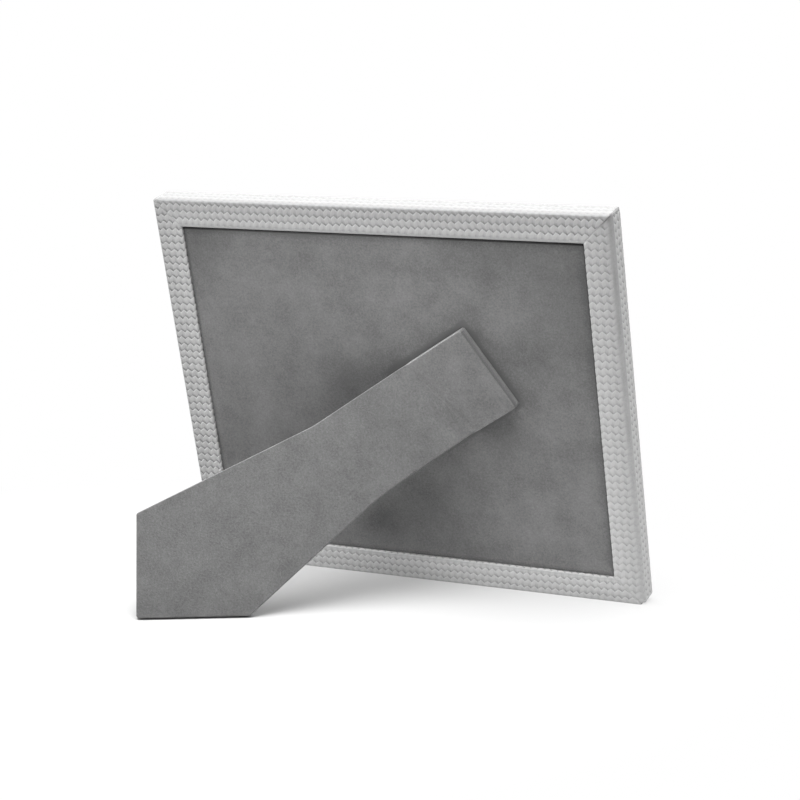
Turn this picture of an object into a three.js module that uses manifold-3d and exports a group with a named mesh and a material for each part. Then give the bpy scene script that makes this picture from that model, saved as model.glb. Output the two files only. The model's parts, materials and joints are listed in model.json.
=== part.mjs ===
// Table photo frame covered in leather, with a suede back panel and a folding suede strut.
// Units are millimetres. In the frame's own layout X runs across the frame, Y points out of its back
// and Z runs up its face, with the origin at the middle of the bottom edge of the back face.
// The whole frame then leans back on its strut, and the finished part stands on Z = 0.

import * as THREE from 'three';
import { mergeVertices } from 'three/addons/utils/BufferGeometryUtils.js';
import Module from 'manifold-3d';

const wasm = await Module();
wasm.setup();

// Picture and rebate
const pictureWidth = 250;
const pictureHeight = 200;
const rebateRoom = 2.5;
const glassRoom = 1;
const glassThickness = 2;
const pictureThickness = 0.3;

// Moulding
const backBorder = 16.4;
const lipWidth = 6;
const lipWood = 1.7;
const leatherThickness = 1.4;
const outerEdgeRadius = 2.6;
const rebateEdgeRadius = 1.8;
const sightEdgeRadius = 2.2;
const mitreGap = 0.3;

// Clearances between pieces that are glued, laid or pushed together
const glueLine = 0.3;
const panelFit = 0.4;

// Steel nails across the mitres, one in each corner
const nailWing = 5;
const nailThickness = 0.8;
const nailDepth = 6;
const nailCover = 1;
const nailInset = 6;

// Back panel
const suedeThickness = 0.8;
const suedeEdgeRadius = 0.7;
const boardThickness = 3.4;
const liningThickness = 0.4;
const hemWidth = 9;
const panelRecess = 1.1;

// Stance: how far the frame leans back, how far the strut's leg opens, and the line on the panel that
// it folds about
const leanAngle = THREE.MathUtils.degToRad(15);
const openAngle = THREE.MathUtils.degToRad(43);
const hingeAngle = THREE.MathUtils.degToRad(45);
const hingeFromSide = 174.8;
const hingeFromBottom = 123.9;

// Strut outline
const neckAngle = THREE.MathUtils.degToRad(33);
const neckWidth = 54.7;
const headLength = 39.6;
const upperNeckLength = 70.2;
const lowerNeckLength = 58.7;
const footSide = 59.1;
const footBase = 63.9;
const upperKinkRadius = 30;
const lowerKinkRadius = 220;
const footCornerRadius = 1.6;
const headCornerRadius = 1.4;

// Strut thickness
const legLiningThickness = 0.5;
const legBoardThickness = 2.6;
const borderClearance = 0.45;
const creaseGap = 0.3;

// Steel hinge between the strut's head and its leg
const hingeLength = 40;
const knuckleCount = 5;
const knuckleGap = 0.3;
const knuckleWall = 0.6;
const pinRadius = 0.65;
const pinPlay = 0.1;
const basePlateThickness = 1;
const basePlateReach = 27;
const leafThickness = 0.8;
const leafReach = 22;
const webThickness = 0.8;
const hingeRunningGap = 0.3;

// Flush rivets
const rivetRadius = 1.2;
const rivetHeadRadius = 2.1;
const rivetTailRadius = 2;
const rivetTailHeight = 0.6;
const rivetSpread = 22;
const baseRivetReach = 17;
const leafRivetReach = 12;

// Roundness of arcs
const edgeSegments = 4;
const cornerSegments = 6;
const roundSegments = 24;

// Sizes worked out from the ones above
const openingWidth = pictureWidth + 2 * rebateRoom;
const openingHeight = pictureHeight + 2 * rebateRoom;
const outerWidth = openingWidth + 2 * backBorder;
const outerHeight = openingHeight + 2 * backBorder;
const skin = leatherThickness + glueLine;
const suedeY = -panelRecess;
const boardY = suedeY - suedeThickness - glueLine;
const hemY = boardY - boardThickness - glueLine;
const pictureY = hemY - suedeThickness - glueLine;
const glassY = pictureY - pictureThickness - glueLine;
const seatY = glassY - glassThickness - glueLine;
const frontY = seatY - lipWood - 2 * skin;
const legBottomY = borderClearance;
const legBoardY = legBottomY + legLiningThickness + glueLine;
const legCoverY = legBoardY + legBoardThickness + glueLine;
const strutTopY = legCoverY + suedeThickness;
const knuckleBore = pinRadius + pinPlay;
const knuckleRadius = knuckleBore + knuckleWall;
const axisY = legCoverY - glueLine - knuckleRadius;
const basePlateY = suedeY + glueLine;
const basePlateTop = basePlateY + basePlateThickness;

// Hinge place, with its x axis across the fold towards the foot and its z axis along the pin
const hingeX = outerWidth / 2 - hingeFromSide;
const hingeZ = hingeFromBottom;
const hingePlace = new THREE.Matrix4()
  .makeTranslation(hingeX, axisY, hingeZ)
  .multiply(new THREE.Matrix4().makeRotationY(Math.PI / 2 - hingeAngle));

const pinPoint = new THREE.Vector3(hingeX, axisY, hingeZ);
const pinDirection = new THREE.Vector3(Math.cos(hingeAngle), 0, Math.sin(hingeAngle));

// The leaning frame stands on the rounded back edge of its leather.
const tableHeight = outerEdgeRadius * (Math.sin(leanAngle) + Math.cos(leanAngle) - 1);

// Height above the table of a place on the inner face of the open leg, named by where it lies when folded
function openHeight(x, z) {
  const place = new THREE.Vector3(x, legBottomY, z).sub(pinPoint);
  place.applyAxisAngle(pinDirection, openAngle).add(pinPoint);
  return place.z * Math.cos(leanAngle) - place.y * Math.sin(leanAngle) - tableHeight;
}

// Height on the folded leg of the line that meets the table, at a distance in from the frame's side.
// The same line, turned over, serves for standing the frame on that side.
function footLine(fromSide) {
  const x = outerWidth / 2 - fromSide;
  const start = openHeight(x, 0);
  return start / (start - openHeight(x, 1));
}

const footSlope = footLine(1) - footLine(0);
const footInset = footLine(0) / (1 - footSlope);

// Solid modelling helpers

function toSolid(geometry) {
  const bare = geometry.clone();
  bare.deleteAttribute('normal');
  bare.deleteAttribute('uv');
  const merged = mergeVertices(bare, 1e-4);
  const mesh = new wasm.Mesh({
    numProp: 3,
    vertProperties: new Float32Array(merged.attributes.position.array),
    triVerts: new Uint32Array(merged.index.array),
  });
  return new wasm.Manifold(mesh);
}

function toGeometry(solid) {
  const mesh = solid.getMesh();
  const indexed = new THREE.BufferGeometry();
  indexed.setAttribute('position', new THREE.BufferAttribute(mesh.vertProperties, 3));
  indexed.setIndex(new THREE.BufferAttribute(mesh.triVerts, 1));
  const geometry = indexed.toNonIndexed();
  geometry.computeVertexNormals();
  return geometry;
}

function cut(geometry, cutters) {
  const result = cutters.reduce((solid, cutter) => solid.subtract(toSolid(cutter)), toSolid(geometry));
  return toGeometry(result);
}

function join(geometries) {
  const result = geometries.slice(1).reduce((solid, next) => solid.add(toSolid(next)), toSolid(geometries[0]));
  return toGeometry(result);
}

// A plate whose outline lies in the frame's X-Z plane, from bottomY up to topY
function plate(shape, bottomY, topY) {
  const geometry = new THREE.ExtrudeGeometry(shape, {
    depth: topY - bottomY,
    bevelEnabled: false,
    curveSegments: cornerSegments,
  });
  geometry.rotateX(Math.PI / 2);
  geometry.translate(0, topY, 0);
  return geometry;
}

// The same plate with its upper and lower edges rounded
function softPlate(shape, bottomY, topY, radius) {
  const geometry = new THREE.ExtrudeGeometry(shape, {
    depth: topY - bottomY - 2 * radius,
    bevelEnabled: true,
    bevelThickness: radius,
    bevelSize: radius,
    bevelOffset: -radius,
    bevelSegments: edgeSegments,
    curveSegments: cornerSegments,
  });
  geometry.rotateX(Math.PI / 2);
  geometry.translate(0, topY - radius, 0);
  return geometry;
}

// A prism whose outline lies across the hinge pin, between two places along the pin
function hingePrism(shape, from, to) {
  const geometry = new THREE.ExtrudeGeometry(shape, {
    depth: to - from,
    bevelEnabled: false,
    curveSegments: roundSegments / 2,
  });
  geometry.translate(0, 0, from);
  return geometry;
}

// A box in the hinge's own layout, from its lowest corner to its highest
function hingeBox(low, high) {
  const geometry = new THREE.BoxGeometry(high[0] - low[0], high[1] - low[1], high[2] - low[2]);
  geometry.translate((low[0] + high[0]) / 2, (low[1] + high[1]) / 2, (low[2] + high[2]) / 2);
  return geometry;
}

function inFrame(geometry) {
  return geometry.clone().applyMatrix4(hingePlace);
}

function rectangle(width, height, centreZ) {
  const shape = new THREE.Shape();
  shape.moveTo(-width / 2, centreZ - height / 2);
  shape.lineTo(width / 2, centreZ - height / 2);
  shape.lineTo(width / 2, centreZ + height / 2);
  shape.lineTo(-width / 2, centreZ + height / 2);
  shape.closePath();
  return shape;
}

function polygon(points) {
  const shape = new THREE.Shape();
  points.forEach(([x, y], index) => (index === 0 ? shape.moveTo(x, y) : shape.lineTo(x, y)));
  shape.closePath();
  return shape;
}

// An outline through corner points, each with its own radius, drawn counter-clockwise.
// A positive inset draws it that much smaller all round.
function roundedOutline(corners, inset) {
  const count = corners.length;
  const at = (index) => corners[(index + count) % count];
  const lines = corners.map((corner, index) => {
    const direction = at(index + 1).point.clone().sub(corner.point).normalize();
    const inward = new THREE.Vector2(-direction.y, direction.x);
    return { start: corner.point.clone().addScaledVector(inward, inset), direction };
  });
  const path = new THREE.Path();
  corners.forEach((corner, index) => {
    const before = lines[(index + count - 1) % count];
    const after = lines[index];
    const turn = before.direction.cross(after.direction);
    const between = after.start.clone().sub(before.start);
    const reach = between.cross(after.direction) / turn;
    const point = before.start.clone().addScaledVector(before.direction, reach);
    const bend = Math.asin(THREE.MathUtils.clamp(turn, -1, 1));
    const corrected = before.direction.dot(after.direction) < 0 ? Math.sign(bend) * Math.PI - bend : bend;
    const radius = Math.max(corner.radius - Math.sign(turn) * inset, 0.05);
    const tangent = radius * Math.tan(Math.abs(corrected) / 2);
    const begin = point.clone().addScaledVector(before.direction, -tangent);
    const side = new THREE.Vector2(-before.direction.y, before.direction.x).multiplyScalar(Math.sign(turn));
    const centre = begin.clone().addScaledVector(side, radius);
    const startAngle = Math.atan2(begin.y - centre.y, begin.x - centre.x);
    path.absarc(centre.x, centre.y, radius, startAngle, startAngle + corrected, turn < 0);
  });
  const shape = new THREE.Shape(path.getPoints(cornerSegments));
  return shape;
}

// Moulding: the rails and their leather are drawn as a cross-section, with u running in from the frame's
// outer side and y from the back face forwards.

const sightU = backBorder + lipWidth;

// The rounded edges of the moulding, from the rebate over the back, the outer side and the front
const edges = [
  { u: backBorder, y: 0, radius: rebateEdgeRadius, from: 0 },
  { u: 0, y: 0, radius: outerEdgeRadius, from: Math.PI / 2 },
  { u: 0, y: frontY, radius: outerEdgeRadius, from: Math.PI },
  { u: sightU, y: frontY, radius: sightEdgeRadius, from: 1.5 * Math.PI },
].map((edge) => ({
  x: edge.u + (edge.u === 0 ? edge.radius : -edge.radius),
  y: edge.y + (edge.y === 0 ? -edge.radius : edge.radius),
  radius: edge.radius,
  from: edge.from,
}));

// The same run of edges at a depth below the leather's outer face
function followEdges(shape, depth) {
  shape.lineTo(edges[0].x + edges[0].radius - depth, edges[0].y);
  edges.forEach(({ x, y, radius, from }) => {
    shape.absarc(x, y, radius - depth, from, from + Math.PI / 2, false);
  });
}

function woodSection() {
  const shape = new THREE.Shape();
  shape.moveTo(backBorder - skin, seatY - skin);
  followEdges(shape, skin);
  shape.lineTo(sightU - skin, seatY - skin);
  shape.closePath();
  return shape;
}

// The leather runs from the foot of the rebate wall over the back, round the outer side and the front,
// over the sight edge and on to the ledge that the glass lies on.
function leatherSection() {
  const shape = new THREE.Shape();
  const wallEnd = seatY + glueLine;
  shape.moveTo(backBorder, wallEnd);
  followEdges(shape, 0);
  shape.lineTo(sightU, seatY);
  shape.lineTo(backBorder - leatherThickness, seatY);
  shape.lineTo(backBorder - leatherThickness, seatY - leatherThickness);
  shape.lineTo(sightU - leatherThickness, seatY - leatherThickness);
  edges.toReversed().forEach(({ x, y, radius, from }) => {
    shape.absarc(x, y, radius - leatherThickness, from + Math.PI / 2, from, true);
  });
  shape.lineTo(backBorder - leatherThickness, wallEnd);
  shape.closePath();
  return shape;
}

// A length of moulding along X with both ends cut to the 45 degree mitre, its outer side on Z = 0
function mitred(section, outerLength) {
  const geometry = new THREE.ExtrudeGeometry(section, {
    depth: 1,
    bevelEnabled: false,
    curveSegments: edgeSegments,
  });
  const position = geometry.attributes.position;
  for (let index = 0; index < position.count; index += 1) {
    const u = position.getX(index);
    const y = position.getY(index);
    const end = outerLength / 2 - u - mitreGap / Math.SQRT2;
    const x = position.getZ(index) > 0.5 ? -end : end;
    position.setXYZ(index, x, y, u);
  }
  geometry.computeVertexNormals();
  return geometry;
}

// A corner nail seen from the back: a right-angled V that straddles the mitre, one wing in each rail
function nailOutline(clearance) {
  const half = nailThickness / 2 + clearance;
  const tip = nailWing + clearance;
  return polygon([
    [-half, -half],
    [tip, -half],
    [tip, half],
    [half, half],
    [half, tip],
    [-half, tip],
  ]);
}

const nailTopY = -skin - nailCover;

const sides = [
  { name: 'bottom', length: outerWidth, position: [0, 0, 0], turn: 0 },
  { name: 'right', length: outerHeight, position: [outerWidth / 2, 0, outerHeight / 2], turn: -Math.PI / 2 },
  { name: 'top', length: outerWidth, position: [0, 0, outerHeight], turn: Math.PI },
  { name: 'left', length: outerHeight, position: [-outerWidth / 2, 0, outerHeight / 2], turn: Math.PI / 2 },
];

// The nail at one end of a rail, in the rail's own layout: end is 1 or -1 along X
function nailAtEnd(outerLength, end, clearance) {
  const bottomY = nailTopY - nailDepth - clearance;
  const geometry = plate(nailOutline(clearance), bottomY, nailTopY + nailCover + 2 * clearance);
  geometry.rotateY(end > 0 ? -Math.PI / 2 : 0);
  geometry.translate(end * (outerLength / 2 - nailInset), 0, nailInset);
  return geometry;
}

function railGeometry(outerLength) {
  const slots = [1, -1].map((end) => nailAtEnd(outerLength, end, glueLine));
  return cut(mitred(woodSection(), outerLength), slots);
}

// Back panel

const panelWidth = openingWidth - 2 * panelFit;
const panelHeight = openingHeight - 2 * panelFit;
const centreZ = outerHeight / 2;

function innerRectangle(inset) {
  return rectangle(panelWidth - 2 * inset, panelHeight - 2 * inset, centreZ);
}

// Flush rivet, standing on its tail: countersunk head at the top, spread tail at the bottom
function rivet(headY, headHeight, tailY, clearance) {
  const profile = [
    [0, tailY - clearance],
    [rivetTailRadius + clearance, tailY - clearance],
    [rivetTailRadius + clearance, tailY + rivetTailHeight + clearance],
    [rivetRadius + clearance, tailY + rivetTailHeight + clearance],
    [rivetRadius + clearance, headY - headHeight],
    [rivetHeadRadius + clearance, headY],
    [0, headY],
  ];
  const points = profile.map(([x, y]) => new THREE.Vector2(x, y));
  return new THREE.LatheGeometry(points, roundSegments);
}

function rivetHole(headY, headHeight, tailY) {
  const above = new THREE.CylinderGeometry(
    rivetHeadRadius + glueLine,
    rivetHeadRadius + glueLine,
    2 * glueLine,
    roundSegments,
  );
  above.translate(0, headY + glueLine, 0);
  const below = new THREE.CylinderGeometry(
    rivetTailRadius + glueLine,
    rivetTailRadius + glueLine,
    2 * glueLine,
    roundSegments,
  );
  below.translate(0, tailY - glueLine, 0);
  return join([rivet(headY, headHeight, tailY, glueLine), above, below]);
}

const rivetSides = [1, -1];

// Base plate rivets run down through the panel, so their places are given in the hinge's layout.
function baseRivetAt(geometry, side) {
  return geometry.clone().translate(-baseRivetReach, -axisY, side * rivetSpread / 2);
}

// Leaf rivets point the other way, with their heads on the leg's inner side.
function leafRivetAt(geometry, side) {
  return geometry.clone().rotateX(Math.PI).translate(leafRivetReach, 0, side * rivetSpread / 2);
}

const baseRivetTailY = boardY - boardThickness;
const leafBottom = legBoardY - axisY;
const leafTop = leafBottom + leafThickness;
const legBoardTop = legBoardY + legBoardThickness - axisY;

const baseHoles = rivetSides.map((side) => {
  return baseRivetAt(rivetHole(basePlateTop, basePlateThickness, baseRivetTailY), side);
});
const leafHoles = rivetSides.map((side) => {
  return leafRivetAt(rivetHole(-leafBottom, leafThickness, -legBoardTop), side);
});

function panelSuedeGeometry() {
  const wrap = softPlate(innerRectangle(0), hemY - suedeThickness, suedeY, suedeEdgeRadius);
  const pocket = plate(innerRectangle(suedeThickness), hemY, suedeY - suedeThickness);
  const window = plate(innerRectangle(hemWidth), hemY - 2 * suedeThickness, hemY + glueLine);
  return cut(wrap, [pocket, window, ...baseHoles.map(inFrame)]);
}

function panelBoardGeometry() {
  const board = plate(innerRectangle(suedeThickness + glueLine), boardY - boardThickness, boardY);
  return cut(board, baseHoles.map(inFrame));
}

// Strut outline in the folded position, counter-clockwise as seen with X to the right and Z up

const neckAlong = new THREE.Vector2(Math.cos(neckAngle), -Math.sin(neckAngle));
const neckAcross = new THREE.Vector2(Math.sin(neckAngle), Math.cos(neckAngle));

function neckPoint(along, across) {
  return new THREE.Vector2(hingeX, hingeZ).addScaledVector(neckAlong, along).addScaledVector(neckAcross, across);
}

function footPoint(fromSide, fromBottom) {
  return new THREE.Vector2(outerWidth / 2 - fromSide, fromBottom);
}

const strutCorners = [
  { point: neckPoint(-headLength, neckWidth / 2), radius: headCornerRadius },
  { point: neckPoint(-headLength, -neckWidth / 2), radius: headCornerRadius },
  { point: neckPoint(lowerNeckLength, -neckWidth / 2), radius: lowerKinkRadius },
  { point: footPoint(footInset + footBase, footLine(footInset + footBase)), radius: footCornerRadius },
  { point: footPoint(footInset, footInset), radius: footCornerRadius },
  { point: footPoint(footLine(footInset + footSide), footInset + footSide), radius: footCornerRadius },
  { point: neckPoint(upperNeckLength, neckWidth / 2), radius: upperKinkRadius },
];

const strutShape = (inset) => roundedOutline(strutCorners, inset);

// Cutters across the fold. Above the pin the two covers are cut back by half the opening angle each, so
// that they meet when the leg is open; below it they end at the pin.
const cutterReach = 2 * Math.hypot(outerWidth, outerHeight);
const cutterHeight = 4 * strutTopY;

function creaseCutter(side) {
  const slope = Math.tan(openAngle / 2);
  const gap = creaseGap / 2;
  const outline = [
    [-side * cutterReach, -cutterHeight],
    [side * gap, -cutterHeight],
    [side * gap, 0],
    [side * (gap + slope * cutterHeight), cutterHeight],
    [-side * cutterReach, cutterHeight],
  ];
  const turned = side > 0 ? outline : outline.reverse();
  return inFrame(hingePrism(polygon(turned), -cutterReach, cutterReach));
}

// Everything from a line that runs along the pin outwards: side is 1 towards the foot and -1 towards the head
function hingeHalf(side, start) {
  const low = [side > 0 ? start : -cutterReach, -cutterHeight, -cutterReach];
  const high = [side > 0 ? cutterReach : start, cutterHeight, cutterReach];
  return inFrame(hingeBox(low, high));
}

function strutCover(bottomY) {
  const wrap = softPlate(strutShape(0), bottomY - 2 * suedeEdgeRadius, strutTopY, suedeEdgeRadius);
  const trim = plate(rectangle(2 * cutterReach, 2 * cutterReach, 0), bottomY - cutterHeight, bottomY);
  const pocket = plate(strutShape(suedeThickness), bottomY - cutterHeight, legCoverY);
  return [wrap, trim, pocket];
}

function headSuedeGeometry() {
  const [wrap, trim, pocket] = strutCover(basePlateY);
  return cut(wrap, [trim, pocket, creaseCutter(-1)]);
}

function legSuedeGeometry() {
  const [wrap, trim, pocket] = strutCover(legBottomY);
  return cut(wrap, [trim, pocket, creaseCutter(1)]);
}

const boardInset = suedeThickness + glueLine;
const legClear = knuckleRadius + hingeRunningGap;

// Stop tongue on each knuckle of the leaf: its tip comes down on the base plate as the leg opens.
const tongueHalf = leafThickness / 2;
const tongueDrop = axisY - basePlateTop - glueLine;
const tongueReach = (tongueDrop - tongueHalf * Math.cos(openAngle)) / Math.sin(openAngle);
const headClear = Math.max(tongueReach, knuckleRadius + webThickness) + 2 * hingeRunningGap;

function headBoardGeometry() {
  const board = plate(strutShape(boardInset), basePlateTop + glueLine, legCoverY - glueLine);
  return cut(board, [hingeHalf(1, -headClear)]);
}

function legBoardGeometry() {
  const board = plate(strutShape(boardInset), legBoardY, legCoverY - glueLine);
  const recessLow = [0, leafBottom - glueLine, -hingeLength / 2 - glueLine];
  const recessHigh = [leafReach + glueLine, leafTop + glueLine, hingeLength / 2 + glueLine];
  const recess = inFrame(hingeBox(recessLow, recessHigh));
  return cut(board, [hingeHalf(-1, legClear), recess, ...leafHoles.map(inFrame)]);
}

function legLiningGeometry() {
  const lining = plate(strutShape(boardInset), legBottomY, legBottomY + legLiningThickness);
  return cut(lining, [hingeHalf(-1, legClear)]);
}

// Hinge

function knuckleRing(from, to) {
  const shape = new THREE.Shape();
  shape.absarc(0, 0, knuckleRadius, 0, 2 * Math.PI, false);
  const bore = new THREE.Path();
  bore.absarc(0, 0, knuckleBore, 0, 2 * Math.PI, true);
  shape.holes.push(bore);
  return hingePrism(shape, from, to);
}

// Knuckles share the hinge's length evenly; even ones belong to the base plate and odd ones to the leaf.
const knucklePitch = hingeLength / knuckleCount;

function knuckleSpans(parity) {
  const spans = [];
  for (let index = parity; index < knuckleCount; index += 2) {
    const start = -hingeLength / 2 + index * knucklePitch;
    spans.push([start + knuckleGap / 2, start + knucklePitch - knuckleGap / 2]);
  }
  return spans;
}

const joinReach = (knuckleBore + knuckleRadius) / 2;

function basePlateGeometry() {
  const low = basePlateY - axisY;
  const high = basePlateTop - axisY;
  const outer = -joinReach - webThickness;
  const flat = hingeBox([-basePlateReach, low, -hingeLength / 2], [-joinReach, high, hingeLength / 2]);
  const knuckles = knuckleSpans(0).flatMap(([from, to]) => [
    hingeBox([outer, low, from], [-joinReach, 0, to]),
    knuckleRing(from, to),
  ]);
  return cut(join([flat, ...knuckles]), baseHoles);
}

function leafGeometry() {
  const half = hingeLength / 2;
  const flat = hingeBox([legClear, leafBottom, -half], [leafReach, leafTop, half]);
  const knuckles = knuckleSpans(1).flatMap(([from, to]) => [
    hingeBox([joinReach, leafBottom, from], [legClear + leafThickness, leafTop, to]),
    hingeBox([-tongueReach, -tongueHalf, from], [-joinReach, tongueHalf, to]),
    knuckleRing(from, to),
  ]);
  return cut(join([flat, ...knuckles]), leafHoles);
}

function pinGeometry() {
  const pin = new THREE.CylinderGeometry(pinRadius, pinRadius, hingeLength, roundSegments);
  pin.rotateX(Math.PI / 2);
  return pin;
}

// Finishes
const finishes = {
  leather: { color: 0xb4b4b2, roughness: 0.62, metalness: 0 },
  suede: { color: 0x7c7c7b, roughness: 0.95, metalness: 0 },
  wood: { color: 0xc7a77c, roughness: 0.75, metalness: 0 },
  board: { color: 0x9a8a72, roughness: 0.9, metalness: 0 },
  paper: { color: 0xf1efe9, roughness: 0.85, metalness: 0 },
  lining: { color: 0x4c4b4a, roughness: 0.9, metalness: 0 },
  glass: { color: 0xe8f0ee, roughness: 0.05, metalness: 0, transparent: true, opacity: 0.35 },
  steel: { color: 0xa9abad, roughness: 0.35, metalness: 1 },
};

function piece(name, geometry, finish) {
  const mesh = new THREE.Mesh(geometry, new THREE.MeshStandardMaterial(finishes[finish]));
  mesh.name = name;
  return mesh;
}

// Assembly

function buildMoulding() {
  const group = new THREE.Group();
  sides.forEach(({ name, length, position, turn }) => {
    const side = new THREE.Group();
    side.position.set(...position);
    side.rotation.y = turn;
    side.add(piece(`${name}_rail`, railGeometry(length), 'wood'));
    side.add(piece(`${name}_leather`, mitred(leatherSection(), length), 'leather'));
    group.add(side);
  });
  return group;
}

function buildNails() {
  const group = new THREE.Group();
  const corners = [
    ['bottom_left_nail', -1, -1, 0],
    ['bottom_right_nail', 1, -1, -Math.PI / 2],
    ['top_right_nail', 1, 1, Math.PI],
    ['top_left_nail', -1, 1, Math.PI / 2],
  ];
  corners.forEach(([name, acrossSign, upSign, turn]) => {
    const nail = piece(name, plate(nailOutline(0), nailTopY - nailDepth, nailTopY), 'steel');
    nail.rotation.y = turn;
    const x = acrossSign * (outerWidth / 2 - nailInset);
    const z = centreZ + upSign * (outerHeight / 2 - nailInset);
    nail.position.set(x, 0, z);
    group.add(nail);
  });
  return group;
}

function buildGlazing() {
  const group = new THREE.Group();
  const glass = rectangle(openingWidth - 2 * glassRoom, openingHeight - 2 * glassRoom, centreZ);
  const picture = rectangle(pictureWidth, pictureHeight, centreZ);
  group.add(piece('glass', plate(glass, glassY - glassThickness, glassY), 'glass'));
  group.add(piece('picture_sheet', plate(picture, pictureY - pictureThickness, pictureY), 'paper'));
  return group;
}

function atHinge(...pieces) {
  const group = new THREE.Group();
  group.applyMatrix4(hingePlace);
  pieces.forEach((mesh) => group.add(mesh));
  return group;
}

function buildBackPanel() {
  const group = new THREE.Group();
  const lining = plate(innerRectangle(hemWidth + glueLine), hemY - liningThickness, hemY);
  group.add(piece('panel_suede', panelSuedeGeometry(), 'suede'));
  group.add(piece('panel_board', panelBoardGeometry(), 'board'));
  group.add(piece('panel_lining', lining, 'lining'));
  group.add(piece('strut_head_suede', headSuedeGeometry(), 'suede'));
  group.add(piece('strut_head_board', headBoardGeometry(), 'board'));
  const rivets = rivetSides.map((side, index) => {
    const geometry = rivet(basePlateTop, basePlateThickness, baseRivetTailY, 0);
    return piece(`base_rivet_${index + 1}`, baseRivetAt(geometry, side), 'steel');
  });
  const basePlate = piece('hinge_base_plate', basePlateGeometry(), 'steel');
  group.add(atHinge(basePlate, piece('hinge_pin', pinGeometry(), 'steel'), ...rivets));
  return group;
}

// The leg is drawn folded flat and then swung open about the pin.
function buildLeg() {
  const folded = new THREE.Group();
  folded.add(piece('strut_leg_suede', legSuedeGeometry(), 'suede'));
  folded.add(piece('strut_leg_board', legBoardGeometry(), 'board'));
  folded.add(piece('strut_leg_lining', legLiningGeometry(), 'suede'));
  const rivets = rivetSides.map((side, index) => {
    const geometry = rivet(-leafBottom, leafThickness, -legBoardTop, 0);
    return piece(`leaf_rivet_${index + 1}`, leafRivetAt(geometry, side), 'steel');
  });
  folded.add(atHinge(piece('hinge_leaf', leafGeometry(), 'steel'), ...rivets));
  folded.position.copy(pinPoint).negate();
  const pivot = new THREE.Group();
  pivot.quaternion.setFromAxisAngle(pinDirection, openAngle);
  pivot.position.copy(pinPoint);
  pivot.add(folded);
  return pivot;
}

const leaning = new THREE.Group();
leaning.add(buildMoulding(), buildNails(), buildGlazing(), buildBackPanel(), buildLeg());
leaning.rotation.x = -leanAngle;

// Stand the leaning frame on the table, with the origin under the middle of its bounding box.
const part = new THREE.Group();
part.add(leaning);
part.updateMatrixWorld(true);
const bounds = new THREE.Box3().setFromObject(part, true);
const middle = bounds.getCenter(new THREE.Vector3());
leaning.position.set(-middle.x, -middle.y, -bounds.min.z);
part.updateMatrixWorld(true);

export default part;
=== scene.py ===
"""Leather table photo frame seen from behind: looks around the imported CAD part."""

import json
import math

import bmesh
import bpy
import numpy as np
from mathutils import Matrix, Vector


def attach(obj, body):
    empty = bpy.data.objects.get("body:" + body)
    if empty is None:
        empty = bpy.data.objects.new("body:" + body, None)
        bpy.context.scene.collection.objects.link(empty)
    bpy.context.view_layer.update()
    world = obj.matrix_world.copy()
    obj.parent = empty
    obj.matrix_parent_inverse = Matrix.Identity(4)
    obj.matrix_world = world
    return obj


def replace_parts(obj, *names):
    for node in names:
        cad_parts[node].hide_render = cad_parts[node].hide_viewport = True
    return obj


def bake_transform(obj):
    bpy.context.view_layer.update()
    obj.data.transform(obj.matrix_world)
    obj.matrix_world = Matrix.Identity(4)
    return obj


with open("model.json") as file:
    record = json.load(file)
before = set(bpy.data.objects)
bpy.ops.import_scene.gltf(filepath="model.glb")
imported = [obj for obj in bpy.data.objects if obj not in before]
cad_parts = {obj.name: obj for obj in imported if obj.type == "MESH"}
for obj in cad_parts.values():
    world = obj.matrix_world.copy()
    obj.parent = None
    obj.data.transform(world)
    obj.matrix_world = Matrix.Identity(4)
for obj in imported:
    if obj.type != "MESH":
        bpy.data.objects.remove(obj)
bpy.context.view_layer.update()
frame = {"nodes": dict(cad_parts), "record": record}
nodes = frame["nodes"]


MM = 0.001

# The frame's own layout, as in the CAD part: X across, Y out of the back, Z up the face, in millimetres
LEAN = math.radians(15)
FRAME_SHIFT = (0, -69.6162, -0.5843)
OUTER_WIDTH = 287.8
OUTER_HEIGHT = 237.8
DEPTH = 15.0
BORDER = 16.4
SIGHT = 22.4
SEAT = 9.9
LEATHER = 1.4
GAP = 0.3
MITRE = 0.03
INNER_CHAMFER = 0.3

# Radii of the leather's turned edges; the outer back edge is sharp on two sides
OUTER_EDGE = 2.6
SHARP_EDGE = 0.8
BOTTOM_EDGE = 1.3
FRONT_EDGE = 1.3
REBATE_EDGE = 0.8
SIGHT_EDGE = 2.2

# Strut, as in the CAD part
OPEN = math.radians(43)
HINGE_ANGLE = math.radians(45)
NECK_ANGLE = math.radians(33)
HINGE_X = OUTER_WIDTH / 2 - 174.8
HINGE_Z = 123.9
PIN_Y = 2.5
SKIN_TOP = 5.4
SUEDE = 0.8
HEAD_FOOT_Y = -0.8
LEG_FOOT_Y = 0.45
NECK_WIDTH = 54.7
HEAD_LENGTH = 39.6
UPPER_NECK = 70.2
LOWER_NECK = 58.7
FOOT_SIDE = 59.1
FOOT_BASE = 63.9
HEAD_CORNER = 1.4
FOOT_CORNER = 1.6
UPPER_KINK = 30
LOWER_KINK = 220

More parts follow.
